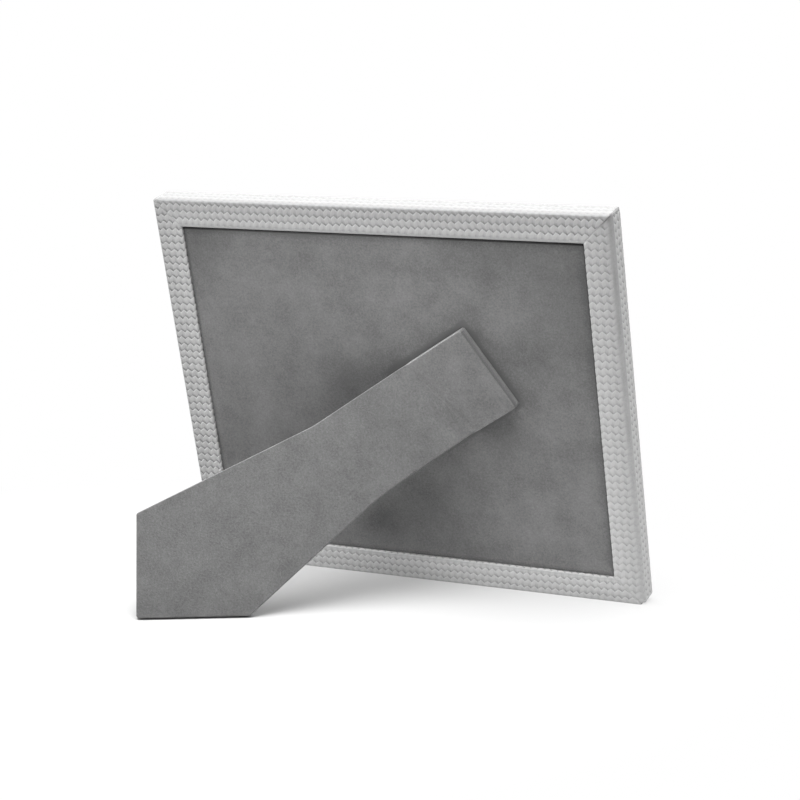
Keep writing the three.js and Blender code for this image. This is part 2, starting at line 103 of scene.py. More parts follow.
QUARTER = math.pi / 2
HALF_WIDTH, HALF_HEIGHT = OUTER_WIDTH / 2, OUTER_HEIGHT / 2
PIN = Vector((HINGE_X, PIN_Y, HINGE_Z))
ALONG_PIN = Vector((math.cos(HINGE_ANGLE), 0, math.sin(HINGE_ANGLE)))
TOWARDS_FOOT = Vector((math.sin(HINGE_ANGLE), 0, -math.cos(HINGE_ANGLE)))
TOWARDS_HEAD = Vector((-math.cos(NECK_ANGLE), 0, math.sin(NECK_ANGLE)))
ABOVE_NECK = Vector((math.sin(NECK_ANGLE), 0, math.cos(NECK_ANGLE)))
SHIFT = Matrix.Translation(Vector(FRAME_SHIFT) * MM)
STANDING = SHIFT @ Matrix.Rotation(-LEAN, 4, "X") @ Matrix.Scale(MM, 4)

# Braid of the leather: spacing of its zigzag rows, their height and sway as shares of it, and its shape
WEAVE = 4.36
ZIGZAG = 0.39
SWAY = 0.09
ARCHED = 0.15
ROOT = 0.5
LIP = 12
RIDGE_TOP = 0.84
FLAT = 0.6
ARM_POWER = 1.5
SLANT = 0.2
BEHIND_STRAND = 0.16

# Relief of the braid, and how far the whole leather stands proud of the plain profile
RELIEF = 0.42
PROUD = 0.25


def smooth(value, low, high):
    """0 up to the low value, 1 from the high one, and a soft step between."""
    share = np.clip((value - low) / (high - low), 0, 1)
    return share * share * (3 - 2 * share)


def bell(distance, width):
    """1 at no distance, fading out softly over the width."""
    return np.exp(-((distance / width) ** 2))


def between(ends, share):
    return ends[0] + (ends[1] - ends[0]) * share


# Shader nodes


def grey(value):
    return (value, value, value)


def new_material(name, color, roughness, metallic=0.0):
    mat = bpy.data.materials.new(name)
    mat.use_nodes = True
    shader = mat.node_tree.nodes["Principled BSDF"]
    shader.inputs["Base Color"].default_value = (*color, 1)
    shader.inputs["Roughness"].default_value = roughness
    shader.inputs["Metallic"].default_value = metallic
    return mat, mat.node_tree, shader


def maths(tree, operation, first, second=None):
    """One sum in the shader, of sockets or numbers."""
    node = tree.nodes.new("ShaderNodeMath")
    node.operation = operation
    for socket, value in zip(node.inputs, (first, second)):
        if isinstance(value, (int, float)):
            socket.default_value = value
        elif value is not None:
            tree.links.new(value, socket)
    return node.outputs["Value"]


def smooth_step(tree, value, low, high):
    """The shader's own smooth(); where the low value is the larger one, it falls from 1 to 0."""
    node = tree.nodes.new("ShaderNodeMapRange")
    node.interpolation_type = "SMOOTHSTEP"
    node.inputs["From Min"].default_value = low
    node.inputs["From Max"].default_value = high
    tree.links.new(value, node.inputs["Value"])
    return node.outputs["Result"]


def split_vector(tree, vector):
    node = tree.nodes.new("ShaderNodeSeparateXYZ")
    tree.links.new(vector, node.inputs["Vector"])
    return node.outputs["X"], node.outputs["Y"], node.outputs["Z"]


def object_noise(tree, scale, detail=3.0, roughness=0.55):
    """Noise over the object's own coordinates, which are metres in the standing frame."""
    coords = tree.nodes.new("ShaderNodeTexCoord")
    noise = tree.nodes.new("ShaderNodeTexNoise")
    noise.inputs["Scale"].default_value = scale
    noise.inputs["Detail"].default_value = detail
    noise.inputs["Roughness"].default_value = roughness
    tree.links.new(coords.outputs["Object"], noise.inputs["Vector"])
    return noise.outputs["Fac"]


def surface_value(tree, name):
    """A number that the piece's mesh carries from point to point."""
    node = tree.nodes.new("ShaderNodeAttribute")
    node.attribute_name = name
    return node.outputs["Fac"]


def color_ramp(tree, value, stops):
    """The colour at a value, between colours at places from 0 to 1."""
    node = tree.nodes.new("ShaderNodeValToRGB")
    ramp = node.color_ramp.elements
    first, last = ramp
    first.position, last.position = stops[0][0], stops[-1][0]
    first.color, last.color = (*stops[0][1], 1), (*stops[-1][1], 1)
    for place, color in stops[1:-1]:
        ramp.new(place).color = (*color, 1)
    tree.links.new(value, node.inputs["Fac"])
    return node.outputs["Color"]


def two_tones(tree, value, low, high, spread=0.16):
    """A colour between two tones, driven by a noise value round a half."""
    return color_ramp(tree, value, [(0.5 - spread, low), (0.5 + spread, high)])


def shade(tree, shader, color):
    """The base colour: this colour times the tone that the piece's mesh carries, which holds painted light
    and shade.
    """
    node = tree.nodes.new("ShaderNodeVectorMath")
    node.operation = "SCALE"
    tree.links.new(color, node.inputs[0])
    tree.links.new(surface_value(tree, "tone"), node.inputs["Scale"])
    tree.links.new(node.outputs["Vector"], shader.inputs["Base Color"])


def bump(tree, shader, height, distance, strength=1.0):
    node = tree.nodes.new("ShaderNodeBump")
    node.inputs["Distance"].default_value = distance
    node.inputs["Strength"].default_value = strength
    tree.links.new(height, node.inputs["Height"])
    tree.links.new(node.outputs["Normal"], shader.inputs["Normal"])


# Leather

# Tones of the leather by how low a place lies in the braid, darker low down as dye and painted shade in the
# grooves, and the level of a place of mean height
LEATHER_TONES = [(0.25, grey(0.457)), (0.55, grey(0.405)), (1, grey(0.2))]
MEAN_HEIGHT = 0.55
MEAN_LEVEL = 0.45

# Scale of the finest grain, on leather and suede
FINE_GRAIN = 1100


def braid_socket(tree):
    """The height of the pressed braid, as braid() gives it, over the UV map in rows and columns."""
    coords = tree.nodes.new("ShaderNodeUVMap")
    column, row, _ = split_vector(tree, coords.outputs["UV"])
    sway = maths(tree, "MULTIPLY", maths(tree, "COSINE", maths(tree, "MULTIPLY", row, math.pi)), SWAY)
    column = maths(tree, "ADD", column, sway)
    centred = maths(tree, "SUBTRACT", maths(tree, "MULTIPLY", maths(tree, "FRACT", column), 2.0), 1.0)
    saw = maths(tree, "ABSOLUTE", centred)
    tip = maths(tree, "SUBTRACT", 1.0, saw)
    arched = maths(tree, "COSINE", maths(tree, "MULTIPLY", saw, QUARTER))
    arched = maths(tree, "MULTIPLY", arched, ZIGZAG * ARCHED)
    zigzag = maths(tree, "ADD", maths(tree, "MULTIPLY", tip, ZIGZAG * (1 - ARCHED)), arched)
    place = maths(tree, "FRACT", maths(tree, "SUBTRACT", row, zigzag))
    lip = maths(tree, "SUBTRACT", 1.0, maths(tree, "POWER", place, LIP))
    ridge = maths(tree, "MULTIPLY", maths(tree, "POWER", place, ROOT), lip)
    groove = maths(tree, "SUBTRACT", 1.0, maths(tree, "DIVIDE", ridge, RIDGE_TOP))
    arm = maths(tree, "MULTIPLY", maths(tree, "POWER", saw, ARM_POWER), 1 - FLAT)
    depth = maths(tree, "ADD", arm, FLAT)
    behind = maths(tree, "MULTIPLY", smooth_step(tree, centred, BEHIND_STRAND, -BEHIND_STRAND), SLANT)
    strand = maths(tree, "SUBTRACT", 1.0, maths(tree, "MULTIPLY", groove, depth))
    return maths(tree, "SUBTRACT", strand, behind)


def leather_material():
    """Satin leather, darker in the grooves of the braid by dye and painted shade, with a fine grain."""
    mat, tree, shader = new_material("leather_braid", grey(0.44), 0.5)
    shader.inputs["Specular IOR Level"].default_value = 0.4
    height = braid_socket(tree)
    pressed = surface_value(tree, "pressed")
    level = maths(tree, "MULTIPLY", maths(tree, "SUBTRACT", MEAN_HEIGHT, height), pressed)
    level = maths(tree, "ADD", level, MEAN_LEVEL)
    level = maths(tree, "ADD", level, maths(tree, "MULTIPLY", object_noise(tree, 600, 4, 0.8), 0.4))
    shade(tree, shader, color_ramp(tree, level, LEATHER_TONES))
    grain = maths(tree, "MULTIPLY", object_noise(tree, FINE_GRAIN, 4, 0.7), 0.5)
    lift = maths(tree, "ADD", maths(tree, "MULTIPLY", height, pressed), grain)
    bump(tree, shader, lift, 0.0005, 0.8)
    return mat


# Suede

# Painted shadow of the strut on the panel, round the strut's head, and round its neck as far as this past the
# pin
STRUT_SHADOW_TO = 20

# Distances from the strut at which a close and a wide part of that painted shadow end and are full
STRUT_SHADOW_CLOSE = (4.0, 0.5)
STRUT_SHADOW_WIDE = (18.0, 0.0)
CLOSE_SHADOW_SHARE = 0.6

# What the painted shadow round the strut and the painted shade of the wrinkles take from the noise value that
# sets the tone, and what a unit of the mesh's painted light and shade adds
STRUT_SHADOW_DARKER = 0.36
WRINKLE_SHADE_DARKER = 0.22
PAINTED_SHADING_STEP = 0.12

# The darkest and the lightest nap, as shares of the suede's tone
DARK_NAP = 0.72
LIGHT_NAP = 1.28


def painted_strut_shadow(tree):
    """How much painted shadow of the strut falls on the panel round its head and neck, from 0 to about 1."""
    head = Matrix.Rotation(-NECK_ANGLE, 4, "Y") @ Matrix.Translation(-PIN) @ STANDING.inverted()
    coords = tree.nodes.new("ShaderNodeTexCoord")
    mapping = tree.nodes.new("ShaderNodeMapping")
    mapping.inputs["Location"].default_value = head.to_translation()
    mapping.inputs["Rotation"].default_value = head.to_euler()
    mapping.inputs["Scale"].default_value = head.to_scale()
    tree.links.new(coords.outputs["Object"], mapping.inputs["Vector"])
    ahead, _, aside = split_vector(tree, mapping.outputs["Vector"])
    middle, half = (STRUT_SHADOW_TO - HEAD_LENGTH) / 2, (STRUT_SHADOW_TO + HEAD_LENGTH) / 2
    ahead = maths(tree, "ABSOLUTE", maths(tree, "SUBTRACT", ahead, middle))
    ahead = maths(tree, "MAXIMUM", maths(tree, "SUBTRACT", ahead, half), 0.0)
    aside = maths(tree, "ABSOLUTE", aside)
    aside = maths(tree, "MAXIMUM", maths(tree, "SUBTRACT", aside, NECK_WIDTH / 2), 0.0)
    squares = maths(tree, "ADD", maths(tree, "POWER", ahead, 2.0), maths(tree, "POWER", aside, 2.0))
    distance = maths(tree, "SQRT", squares)
    close = maths(tree, "MULTIPLY", smooth_step(tree, distance, *STRUT_SHADOW_CLOSE), CLOSE_SHADOW_SHARE)
    wide = maths(tree, "MULTIPLY", smooth_step(tree, distance, *STRUT_SHADOW_WIDE), 1 - CLOSE_SHADOW_SHARE)
    return maths(tree, "ADD", close, wide)


def fold_wrinkle_shade(tree):
    """Painted shade of fine broken wrinkles along the strut's fold, over the UV map in centimetres past and
    along the fold.
    """
    coords = tree.nodes.new("ShaderNodeUVMap")
    past, along, _ = split_vector(tree, coords.outputs["UV"])
    noise = tree.nodes.new("ShaderNodeTexNoise")
    noise.inputs["Scale"].default_value = 1.1
    noise.inputs["Detail"].default_value = 3
    tree.links.new(coords.outputs["UV"], noise.inputs["Vector"])
    wander = maths(tree, "MULTIPLY", noise.outputs["Fac"], 9.0)
    wave = maths(tree, "COSINE", maths(tree, "ADD", maths(tree, "MULTIPLY", past, 22.0), wander))
    lines = maths(tree, "POWER", maths(tree, "MAXIMUM", wave, 0.0), 10.0)
    near_fold = smooth_step(tree, maths(tree, "ABSOLUTE", past), 0.55, 0.1)
    near_middle = smooth_step(tree, maths(tree, "ABSOLUTE", along), 3.4, 1.0)
    near = maths(tree, "MULTIPLY", near_fold, near_middle)
    broken = smooth_step(tree, noise.outputs["Fac"], 0.4, 0.6)
    return maths(tree, "MULTIPLY", lines, maths(tree, "MULTIPLY", near, broken))


def suede_material(name, tone, mottle, mottle_scale, grain_share, painted_shade_at, painted_shade_share):
    """Napped suede: broad brushed patches and a fine grain on one tone, darker with painted shade where the
    given mask says so.
    """
    mat, tree, shader = new_material(name, grey(tone), 0.95)
    patches = maths(tree, "MULTIPLY", object_noise(tree, mottle_scale, 4, 0.65), mottle)
    grain = maths(tree, "MULTIPLY", object_noise(tree, 900, 2, 0.9), grain_share)
    value = maths(tree, "ADD", maths(tree, "ADD", patches, grain), 0.5 - (mottle + grain_share) / 2)
    # The mesh's own shading value: painted light where above 0, painted shade where below
    value = maths(tree, "ADD", value, maths(tree, "MULTIPLY", surface_value(tree, "painted_shading"), PAINTED_SHADING_STEP))
    value = maths(tree, "SUBTRACT", value, maths(tree, "MULTIPLY", painted_shade_at(tree), painted_shade_share))
    shade(tree, shader, two_tones(tree, value, grey(tone * DARK_NAP), grey(tone * LIGHT_NAP), 0.2))
    shader.inputs["Specular IOR Level"].default_value = 0.15
    shader.inputs["Sheen Weight"].default_value = 0.2
    shader.inputs["Sheen Roughness"].default_value = 0.5
    bump(tree, shader, object_noise(tree, FINE_GRAIN, 4, 0.7), 0.0005, 0.7)
    return mat


# Wood, paper, glass and steel


def grained_material(name, low, high, scale, roughness):
    mat, tree, shader = new_material(name, low, roughness)
    grain = object_noise(tree, scale, 4, 0.65)
    tree.links.new(two_tones(tree, grain, low, high), shader.inputs["Base Color"])
    bump(tree, shader, grain, 0.0002, 0.4)
    return mat


def glass_material():
    mat, _, shader = new_material("picture_glass", (0.97, 0.99, 0.98), 0.02)
    shader.inputs["Transmission Weight"].default_value = 1.0
    return mat


def steel_material():
    mat, tree, shader = new_material("zinc_steel", (0.58, 0.59, 0.6), 0.35, 1.0)
    bump(tree, shader, object_noise(tree, 700), 0.00005, 0.4)
    return mat


MATERIALS = {
    "leather": leather_material(),
    "panel_suede": suede_material("panel_suede", 0.162, 0.65, 38, 0.7, painted_strut_shadow, STRUT_SHADOW_DARKER),
    "suede": suede_material("strut_suede", 0.131, 0.45, 80, 0.75, fold_wrinkle_shade, WRINKLE_SHADE_DARKER),
    "rail_wood": grained_material("rail_wood", (0.45, 0.29, 0.14), (0.64, 0.45, 0.25), 90, 0.7),
    "board": grained_material("hardboard", (0.2, 0.13, 0.08), (0.31, 0.22, 0.14), 900, 0.85),
    "picture_paper": grained_material("picture_paper", (0.78, 0.77, 0.74), (0.8, 0.79, 0.76), 1200, 0.6),
    "lining_paper": grained_material("lining_paper", grey(0.045), grey(0.055), 1200, 0.8),
    "glass": glass_material(),
    "steel": steel_material(),
    "strut_lining": grained_material("strut_lining", grey(0.1), grey(0.15), 900, 0.95),
}


def paint(obj, material):
    obj.data.materials.clear()
    obj.data.materials.append(MATERIALS[material])


for part in frame["record"]["subparts"]:
    paint(nodes[part["node"]], part["material_slot"])
paint(nodes["panel_suede"], "panel_suede")
paint(nodes["strut_leg_lining"], "strut_lining")


# Building blocks


def finished(name, bm, body, material, smooth_faces=True):
    """The mesh as an object at the origin, painted, on its body."""
    mesh = bpy.data.meshes.new(name)
    bm.to_mesh(mesh)
    bm.free()
    for polygon in mesh.polygons:
        polygon.use_smooth = smooth_faces
    obj = bpy.data.objects.new(name, mesh)
    bpy.context.scene.collection.objects.link(obj)
    paint(obj, material)
    if body:
        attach(obj, body)
    return obj


def cut_across(bm, place, direction):
    """New edges where a plane crosses the mesh."""
    geom = bm.verts[:] + bm.edges[:] + bm.faces[:]
    bmesh.ops.bisect_plane(bm, geom=geom, plane_co=place, plane_no=direction)


def arc(centre, radius, start, turn, step):
    count = max(2, round(abs(turn) * radius / step))
    angles = start + turn * np.linspace(0, 1, count + 1)
    return np.stack([centre[0] + radius * np.cos(angles), centre[1] + radius * np.sin(angles)], 1)


def straight(a, b, step):
    count = max(1, round(math.dist(a, b) / step))
    share = np.linspace(0, 1, count + 1)[:, None]
    return np.array(a) * (1 - share) + np.array(b) * share


def drop_repeats(points):
    keep = [0]
    for index in range(1, len(points)):
        if np.linalg.norm(points[index] - points[keep[-1]]) > 1e-4:
            keep.append(index)
    return points[keep]


# Leather sides

# Spacing of the mesh's points, which is wider on the faces that don't show
STEP = 0.44

# Distances from the profile's start and from the ledge over which the braid fades in and out
BRAID_STARTS = (3, 6)
BRAID_ENDS = (12, 9)

# Shares of the relief that are lost on the turned edges
BACK_EDGE_WORN = 0.75
FRONT_EDGE_WORN = 0.7

# Insets from the outer edge between which the relief, the painted shade on the inner edge and the mitre's
# folds start or end
BACK_RELIEF_STARTS = (-1, 1)
INNER_PLAIN_STARTS = (BORDER - 2.2, BORDER - 0.8)
INNER_SHADE_STARTS = (BORDER - 2, BORDER - 1)
RAISED_LINE_STARTS = (2, 6)
RAISED_LINE_ENDS = (BORDER - 2.5, BORDER - 1.2)
CORNER_FOLD_ENDS = (4, 9)
CRUMPLE_ENDS = (5, 9)

# Distances down the outer side between which its own painted light, its painted shade on the edge and its
# swell start
SIDE_TONE_STARTS = (1.5, 3.5)
SIDE_SHADE_STARTS = (-0.9, 0.7)
SWELL_STARTS = (0, 2)

# Tone across the back from its outer edge to its inner one, and how dark the painted shade on the inner edge
# is beside that on the outer one
ACROSS_TONES = (0.9, 1.1)
INNER_EDGE_SHADE = 0.4

# Slow waves of the braid's rows: their height, and their rates over the places across and up
WAVES_ACROSS = ((0.3, 0.13, 0.31), (0.15, -0.43, 0.9))
WAVES_UP = ((0.2, 0.23, -0.11), (0.1, 0.71, 0.37))

# Widths beside the mitres: of the seam, the raised line, the corner's fold, a deep fold and its crumple
SEAM = 0.5
RAISED_LINE = 0.95
CORNER_FOLD = 0.7
DEEP_CORNER_FOLD = 1.6
CRUMPLE = 1.8

# A fold at the corner is deep past this lift, and its crumple takes this share of the tone as painted shade
DEEP = -0.3
CRUMPLE_SHADE = 0.22

# The smooth side's worn band: the inset that it is full to, the places along the side, from -1 to 1, that
# it fades out between, and the waves of its border, each with a height, a rate and a start
BAND_FULL_TO = 0.5
BAND_FADES = (-0.2, 0.9)
BAND_WAVES = ((0.35, 0.37, 0), (0.25, 0.9, 2))

# The painted shade along the smooth side's rounded edge, where it turns from the light: its inset and width,
# the share of the tone lost at the near end, and the waves that make it uneven
EDGE_LINE_INSET = 0.2
EDGE_LINE_WIDTH = 1.2
EDGE_LINE_SHADE = 0.17
EDGE_LINE_WAVES = ((0.35, 0.21, 0), (0.25, 0.083, 1))

# Each side has its length, turn and place, the braid's start, the radii of its outer edge and its corners,
# the raised line and the corner's lift at its two mitres, the relief on its back, on its outer side and
# towards its far end, and the painted light of its back and its outer side at the two ends, as tones. What
# only some sides have: a smooth band along the outer edge, no relief at the inner one, a swollen side and
# painted shade on the edges.
PLAIN_EXTRAS = {"smooth_to": 0, "plain_inside": 0, "swell": 0, "edge_shade": 0}
LEATHER_SIDES = {
    "bottom_leather": {
        "length": OUTER_WIDTH, "turn": 0, "centre": (0, 0, 0), "phase": (0.6, 1.1),
        "outside": BOTTOM_EDGE, "corner_radii": (2.4, 1.5), "mitre_lifts": ((0, -0.12), (0, -0.1)),
        "depths": (0.62, 0.62, 0.9), "painted_light": (1.17, 1.24), "side_painted_light": (1.17, 1.23), "edge_shade": 0.4,
    },
    "right_leather": {
        "length": OUTER_HEIGHT, "turn": -QUARTER, "centre": (HALF_WIDTH, 0, HALF_HEIGHT), "phase": (1.9, 0.4),
        "outside": SHARP_EDGE, "corner_radii": (1.5, 1.0), "mitre_lifts": ((0, -0.1), (0, 0)),
        "depths": (1.15, 1, 1), "painted_light": (1.06, 0.87), "side_painted_light": (1.02, 0.83),
    },
    "top_leather": {
        "length": OUTER_WIDTH, "turn": 2 * QUARTER, "centre": (0, 0, OUTER_HEIGHT), "phase": (0.3, 3.3),
        "outside": SHARP_EDGE, "corner_radii": (1.0, 0.6), "mitre_lifts": ((0, 0), (0, 0)),
        "depths": (0.84, 0.25, 1), "painted_light": (0.88, 0.85), "side_painted_light": (0.98, 0.95), "plain_inside": 1,
    },
    "left_leather": {
        "length": OUTER_HEIGHT, "turn": QUARTER, "centre": (-HALF_WIDTH, 0, HALF_HEIGHT), "phase": (0.9, 2.2),
        "outside": OUTER_EDGE, "corner_radii": (0.6, 2.4), "mitre_lifts": ((0.3, -0.4), (0, -0.12)),
        "depths": (0.64, 0.8, 0.65), "painted_light": (0.83, 1.17), "side_painted_light": (0.98, 1.19),
        "smooth_to": 3.4, "swell": 0.5,
    },
}


def leather_paths(outside):
    """The moulding's outer face from the rebate's foot round to the ledge, and the glued face back again."""
    front = -DEPTH
    foot = -SEAT + GAP
    edge, lip, sight, t = REBATE_EDGE, FRONT_EDGE, SIGHT_EDGE, LEATHER
    chamfer = INNER_CHAMFER
    inner_side, hidden, ends = STEP * 1.5, STEP * 2, STEP * 6
    outer = [
        straight((BORDER, foot), (BORDER, -edge), inner_side),
        arc((BORDER - edge, -edge), edge, 0, QUARTER, STEP),
        straight((BORDER - edge, 0), (outside, 0), STEP),
        arc((outside, -outside), outside, QUARTER, QUARTER, STEP),
        straight((0, -outside), (0, front + lip), STEP),
        arc((lip, front + lip), lip, 2 * QUARTER, QUARTER, STEP),
        straight((lip, front), (SIGHT - sight, front), STEP),
        arc((SIGHT - sight, front + sight), sight, 3 * QUARTER, QUARTER, STEP),
        straight((SIGHT, front + sight), (SIGHT, -SEAT), inner_side),
        straight((SIGHT, -SEAT), (BORDER - t, -SEAT), ends),
    ]
    inner = [
        straight((BORDER - t, -SEAT - t), (SIGHT - t, -SEAT - t), ends),
        arc((SIGHT - sight, front + sight), sight - t, 4 * QUARTER, -QUARTER, hidden),
        arc((OUTER_EDGE, front + OUTER_EDGE), OUTER_EDGE - t, 3 * QUARTER, -QUARTER, hidden),
        arc((OUTER_EDGE, -OUTER_EDGE), OUTER_EDGE - t, 2 * QUARTER, -QUARTER, hidden),
        straight((BORDER - t - chamfer, -t), (BORDER - t, -t - chamfer), hidden),
        straight((BORDER - t, -t - chamfer), (BORDER - t, foot), ends),
    ]
    return drop_repeats(np.concatenate(outer)), drop_repeats(np.concatenate(inner))


def leather_profile(outside):
    """The profile's points and outward directions, their inset from the outer edge, and how far they show."""
    outer, inner = leather_paths(outside)
    profile = np.concatenate([outer, inner])
    tangent = np.roll(profile, -1, 0) - np.roll(profile, 1, 0)
    normal = np.stack([tangent[:, 1], -tangent[:, 0]], 1)
    normal /= np.linalg.norm(normal, axis=1)[:, None]
    run = np.concatenate([[0], np.cumsum(np.linalg.norm(np.diff(profile, axis=0), axis=1))])
    back_start = run[np.argmin(np.linalg.norm(outer - (BORDER - REBATE_EDGE, 0), axis=1))]
    inset = BORDER - REBATE_EDGE - (run - back_start)
    ledge = run[len(outer) - 1]
    shown = smooth(run, *BRAID_STARTS) * (1 - smooth(run, ledge - BRAID_ENDS[0], ledge - BRAID_ENDS[1]))
    return profile, normal, inset, shown


def braid(across, up):
    """Height, from 0 to 1, of the pressed braid at a place: rows of slanted strands that form a zigzag."""
    row = up / WEAVE
    column = across / WEAVE + SWAY * np.cos(math.pi * row)
    centred = 2 * (column - np.floor(column)) - 1
    saw = np.abs(centred)
    zigzag = ZIGZAG * (ARCHED * np.cos(QUARTER * saw) + (1 - ARCHED) * (1 - saw))
    place = row - zigzag - np.floor(row - zigzag)
    ridge = place**ROOT * (1 - place**LIP)
    depth = FLAT + (1 - FLAT) * saw**ARM_POWER
    behind = smooth(-centred, -BEHIND_STRAND, BEHIND_STRAND)
    return 1 - (1 - ridge / RIDGE_TOP) * depth - SLANT * behind


def braid_place(side, along, inset):
    """The place of each point in the braid, which lies the same way up on all four sides."""
    turn, phase = side["turn"], side["phase"]
    across = along * math.cos(turn) + inset * math.sin(turn) + phase[0]
    up = inset * math.cos(turn) - along * math.sin(turn) + phase[1]

    def waves(parts):
        return sum(height * np.sin(across * by_across + up * by_up) for height, by_across, by_up in parts)

    return across + waves(WAVES_ACROSS), up + waves(WAVES_UP)


def ripple(waves, along):
    """Waves along a side, added up."""
    return sum(height * np.sin(along * rate + start) for height, rate, start in waves)


def pressed_share(side, along, spread, inset, shown):
    """How deep the braid is pressed: less on the turned edges and where the side is worn smooth."""
    outside, smooth_to = side["outside"], side["smooth_to"]
    back_edge = bell(inset, 0.5 * outside + 0.3)
    front_edge = bell(inset + DEPTH, FRONT_EDGE)
    pressed = shown * (1 - BACK_EDGE_WORN * back_edge) * (1 - FRONT_EDGE_WORN * front_edge)
    if smooth_to:
        border = 1 - smooth(inset + ripple(BAND_WAVES, along), BAND_FULL_TO, smooth_to)
        plain = smooth(inset, -outside, 1 - outside) * border
        pressed = pressed * (1 - plain * (1 - smooth(spread, *BAND_FADES)))
    pressed = pressed * (1 - side["plain_inside"] * smooth(inset, *INNER_PLAIN_STARTS))
    back_depth, side_depth, far_depth = side["depths"]
    pressed = pressed * between((side_depth, back_depth), smooth(inset, *BACK_RELIEF_STARTS))
    return pressed * between((1, far_depth), (spread + 1) / 2)


def leather_light_and_shade(side, along, spread, inset):
    """The tone of the back with its painted light, blended into that of the outer side, with painted shade on
    the edges.
    """
    far = (spread + 1) / 2
    tone = between(ACROSS_TONES, np.clip(inset / BORDER, 0, 1)) * between(side["painted_light"], far)
    tone = between((tone, between(side["side_painted_light"], far)), smooth(-inset, *SIDE_TONE_STARTS))
    edges = smooth(-inset, *SIDE_SHADE_STARTS) + INNER_EDGE_SHADE * smooth(inset, *INNER_SHADE_STARTS)
    tone = tone * (1 - side["edge_shade"] * edges)
    if side["smooth_to"]:
        # Painted shade along the smooth side's rounded edge
        uneven = 1 + ripple(EDGE_LINE_WAVES, along)
        tone = tone * (1 - EDGE_LINE_SHADE * (1 - far) * uneven * bell(inset - EDGE_LINE_INSET, EDGE_LINE_WIDTH))
    return tone


def mitre_shape(side, along, inset, to_mitre, shown):
    """Lift and tone beside the mitres: a raised line with a painted highlight, and a fold at the outer
    corner, crumpled if deep, with painted shade in the crumple.
    """
    first, last = side["mitre_lifts"]
    inside, at_corner = np.where(along[..., None] < 0, first, last).transpose(2, 0, 1)
    raised = inside * smooth(inset, *RAISED_LINE_STARTS) * bell(to_mitre, RAISED_LINE)
    lift = shown * raised * (1 - smooth(inset, *RAISED_LINE_ENDS))
    width = np.where(at_corner < DEEP, DEEP_CORNER_FOLD, CORNER_FOLD)
    lift = lift + shown * at_corner * (1 - smooth(inset, *CORNER_FOLD_ENDS)) * bell(to_mitre, width)
    crumpled = (at_corner < DEEP) * (1 - smooth(inset, *CRUMPLE_ENDS)) * bell(to_mitre, CRUMPLE)
    return lift, (1 + raised) * (1 - CRUMPLE_SHADE * crumpled)


def corners_rounded(side, along, u):
    """The profile's places across, drawn in to round the frame's corners at the side's two ends."""
    for end, radius in zip((-1, 1), side["corner_radii"]):
        from_corner = side["length"] / 2 - end * along
        reach = np.clip(radius - from_corner, 0, radius)
        inwards = radius - np.sqrt(radius**2 - reach**2)
        u = u + inwards * (1 - smooth(u, 0, 2.5 * radius))
    return u


def closed_tube(place, points, numbers, braid_at):
    """A mesh of the points joined round, with its two ends filled, that carries the numbers and the map."""
    rows, around = points[0].shape

    def closed(values):
        values = np.broadcast_to(values, (rows, around))
        return np.concatenate([values, values[:, :1]], 1).ravel()

    bm = bmesh.new()
    bmesh.ops.create_grid(bm, x_segments=around, y_segments=rows - 1, size=1)
    layers = [bm.verts.layers.float.new(name) for name in numbers]
    braid_map = bm.loops.layers.uv.new("braid")
    for vert, point in zip(bm.verts, zip(*map(closed, points))):
        vert.co = place @ Vector(point)
    for layer, values in zip(layers, numbers.values()):
        for vert, value in zip(bm.verts, closed(values)):
            vert[layer] = value
    columns_at, rows_at = map(closed, braid_at)
    for face in bm.faces:
        for loop in face.loops:
            loop[braid_map].uv = (columns_at[loop.vert.index], rows_at[loop.vert.index])
    bmesh.ops.remove_doubles(bm, verts=bm.verts, dist=1e-7)
    rims = [edge for edge in bm.edges if edge.is_boundary]
    bmesh.ops.holes_fill(bm, edges=rims, sides=0)
    bmesh.ops.recalc_face_normals(bm, faces=bm.faces)
    return bm


def leather_side(name, side):
    """One leather side: its profile, stretched between the mitres, with the braid pressed into it."""
    length = side["length"]
    profile, normal, inset, shown = leather_profile(side["outside"])
    spread = np.linspace(-1, 1, int(length / STEP) + 1)[:, None]
    u = np.broadcast_to(profile[:, 0], (len(spread), len(profile)))
    along = spread * (length / 2 - u - MITRE)
    across, up = braid_place(side, along, inset)
    to_mitre = (length / 2 - u - np.abs(along)) / math.sqrt(2)
    beside_seam = 1 - bell(to_mitre, SEAM)
    pressed = pressed_share(side, along, spread, inset, shown)
    mitre_lift, mitre_light_and_shade = mitre_shape(side, along, inset, to_mitre, shown)
    tone = leather_light_and_shade(side, along, spread, inset) * mitre_light_and_shade
    lift = pressed * RELIEF * (braid(across, up) - 1) * beside_seam + shown * PROUD
    lift = lift + mitre_lift + side["swell"] * smooth(-inset, *SWELL_STARTS) * shown
    y = profile[:, 1] + normal[:, 1] * lift
    u = corners_rounded(side, along, u + normal[:, 0] * lift)
    along = spread * (length / 2 - u - MITRE)
    place = STANDING @ Matrix.Translation(side["centre"]) @ Matrix.Rotation(side["turn"], 4, "Y")
    # The tone carries painted light and shade
    numbers = {"pressed": pressed * beside_seam, "tone": tone}
    bm = closed_tube(place, (along, y, u), numbers, (across / WEAVE, up / WEAVE))
    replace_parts(finished(f"{name}_cover", bm, "frame", "leather"), name)


for side_name, values in LEATHER_SIDES.items():
    leather_side(side_name, {**PLAIN_EXTRAS, **values})


# Back panel

# Width of the band along the panel's edges that takes painted shade where the border overhangs it, and the
# painted shade in the outermost part of it
SHADED_BAND = 6
OUTERMOST = 2
OUTERMOST_SHADE = -1.5

# The painted shadow line under the top border: its width, its soft edge and the share of the tone lost in it
TOP_SHADOW_LINE = 1.6
TOP_SHADOW_EDGE = 0.3
TOP_SHADOW_DARKER = 0.5

# The panel's top edge, and how far it is sunk
TOP_EDGE = 0.5
TOP_SUNK = 0.6

